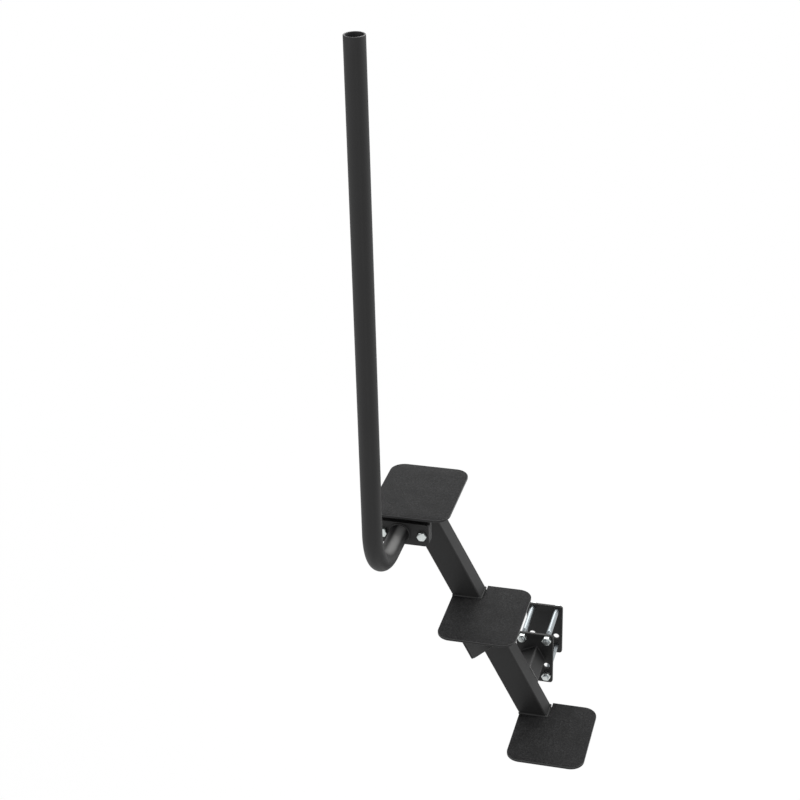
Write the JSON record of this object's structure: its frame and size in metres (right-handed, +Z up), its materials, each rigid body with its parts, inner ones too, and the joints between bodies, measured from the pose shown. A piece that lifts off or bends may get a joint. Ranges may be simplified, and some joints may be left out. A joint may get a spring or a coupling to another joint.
{
  "type": "trailer tongue step ladder",
  "caption": "Steel steps on one sloping tube with a vertical pipe handrail and a bolted two-plate clamp for the tongue of a trailer.",
  "frame": {"origin": "middle of the near clamp plate's inner face, midway between its four bolts", "axes": "+Z up, +X the way the steps go down, +Y out of the near clamp plate towards the far one, across the tongue rail"},
  "size_m": [0.4821, 0.65, 1.7205],
  "materials": {
    "black_powder_coat": "satin black powder coat on steel",
    "gritted_tread": "black non-slip grit coat on steel plate",
    "zinc_plated_steel": "bright zinc plated"
  },
  "bodies": {
    "root": {"stringer": "black_powder_coat", "top_gusset": "black_powder_coat", "middle_gusset": "black_powder_coat", "rail_bracket": "black_powder_coat", "rail_flange": "black_powder_coat", "handrail": "black_powder_coat", "clamp_arm": "black_powder_coat", "near_clamp_plate": "black_powder_coat", "far_clamp_plate": "black_powder_coat", "top_tread": "gritted_tread", "middle_tread": "gritted_tread", "bottom_tread": "gritted_tread", "rail_bolt_left": "zinc_plated_steel", "rail_bolt_right": "zinc_plated_steel", "rail_nut_left": "zinc_plated_steel", "rail_nut_right": "zinc_plated_steel", "clamp_bolt_upper_left": "zinc_plated_steel", "clamp_nut_upper_left": "zinc_plated_steel", "clamp_bolt_upper_right": "zinc_plated_steel", "clamp_nut_upper_right": "zinc_plated_steel", "clamp_bolt_lower_left": "zinc_plated_steel", "clamp_nut_lower_left": "zinc_plated_steel", "clamp_bolt_lower_right": "zinc_plated_steel", "clamp_nut_lower_right": "zinc_plated_steel"}
  },
  "joints": []
}
